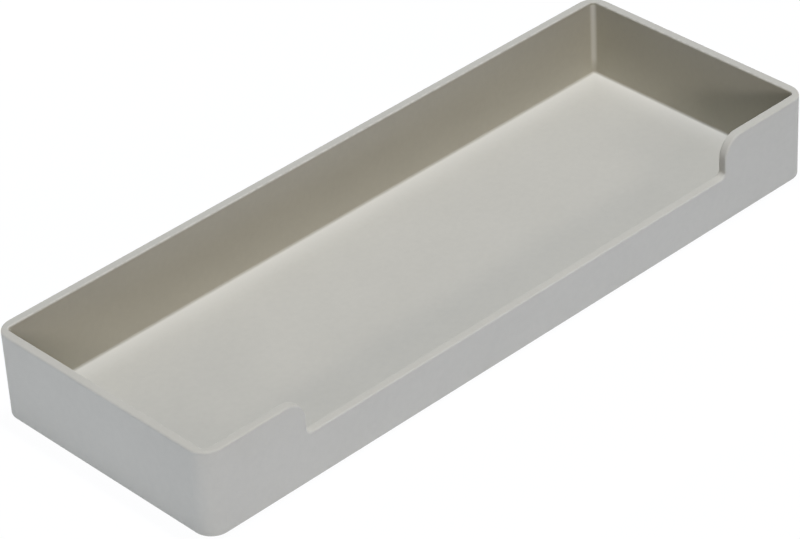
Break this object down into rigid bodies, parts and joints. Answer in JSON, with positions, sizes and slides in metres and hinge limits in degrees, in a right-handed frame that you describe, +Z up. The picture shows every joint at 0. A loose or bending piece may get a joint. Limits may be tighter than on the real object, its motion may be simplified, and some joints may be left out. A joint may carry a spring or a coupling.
{
  "type": "pen tray",
  "caption": "Long shallow desk tray with upright walls, rounded corners and a low cut-out along the front wall for picking up pens, standing on stuck-on non-slip feet.",
  "frame": {"origin": "on the desk, below the middle of the tray", "axes": "+X along the tray, -Y towards the front wall with the cut-out, +Z up"},
  "size_m": [0.25, 0.0906, 0.03],
  "materials": {
    "tray_plastic": "fine matt texture, warm light grey",
    "foot_rubber": "matt silicone rubber, dark grey",
    "foot_adhesive": "clear acrylic adhesive film"
  },
  "bodies": {
    "root": {"tray_shell": "tray_plastic", "front_left_foot": "foot_rubber", "front_right_foot": "foot_rubber", "rear_left_foot": "foot_rubber", "rear_right_foot": "foot_rubber", "front_left_foot_adhesive": "foot_adhesive", "front_right_foot_adhesive": "foot_adhesive", "rear_left_foot_adhesive": "foot_adhesive", "rear_right_foot_adhesive": "foot_adhesive"}
  },
  "joints": []
}
